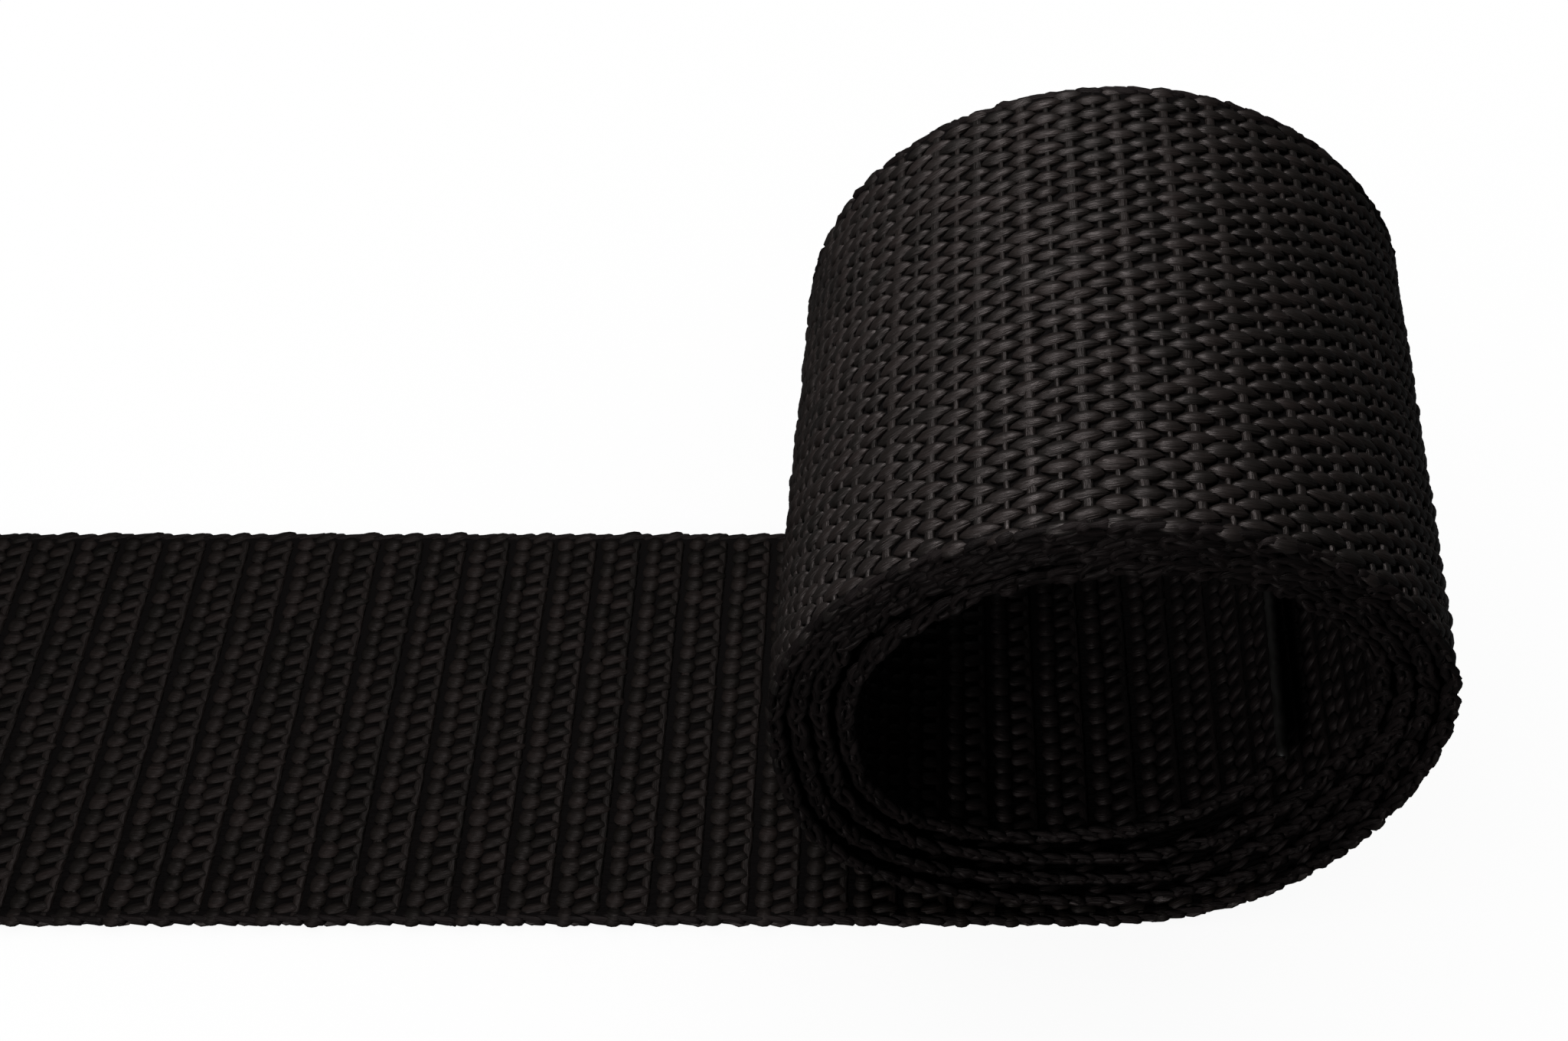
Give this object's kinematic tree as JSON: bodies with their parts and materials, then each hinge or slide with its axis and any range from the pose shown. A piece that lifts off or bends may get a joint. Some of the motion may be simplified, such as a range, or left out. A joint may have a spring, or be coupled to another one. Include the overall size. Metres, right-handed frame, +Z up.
{
  "type": "lashing strap",
  "caption": "Flat woven webbing lashing strap, plain cut ends, wound into a loose roll standing on its own flat tail.",
  "frame": {"origin": "on the floor, in the middle of the strap's footprint, under the flat tail", "axes": "+Z up, the tail runs towards -X and the roll stands at +X, the roll's axis and the webbing's width lie along Y"},
  "size_m": [0.276, 0.0552, 0.0694],
  "materials": {
    "webbing": "black woven polypropylene, slightly glossy yarns"
  },
  "bodies": {
    "root": {"webbing_strap": "webbing"}
  },
  "joints": []
}
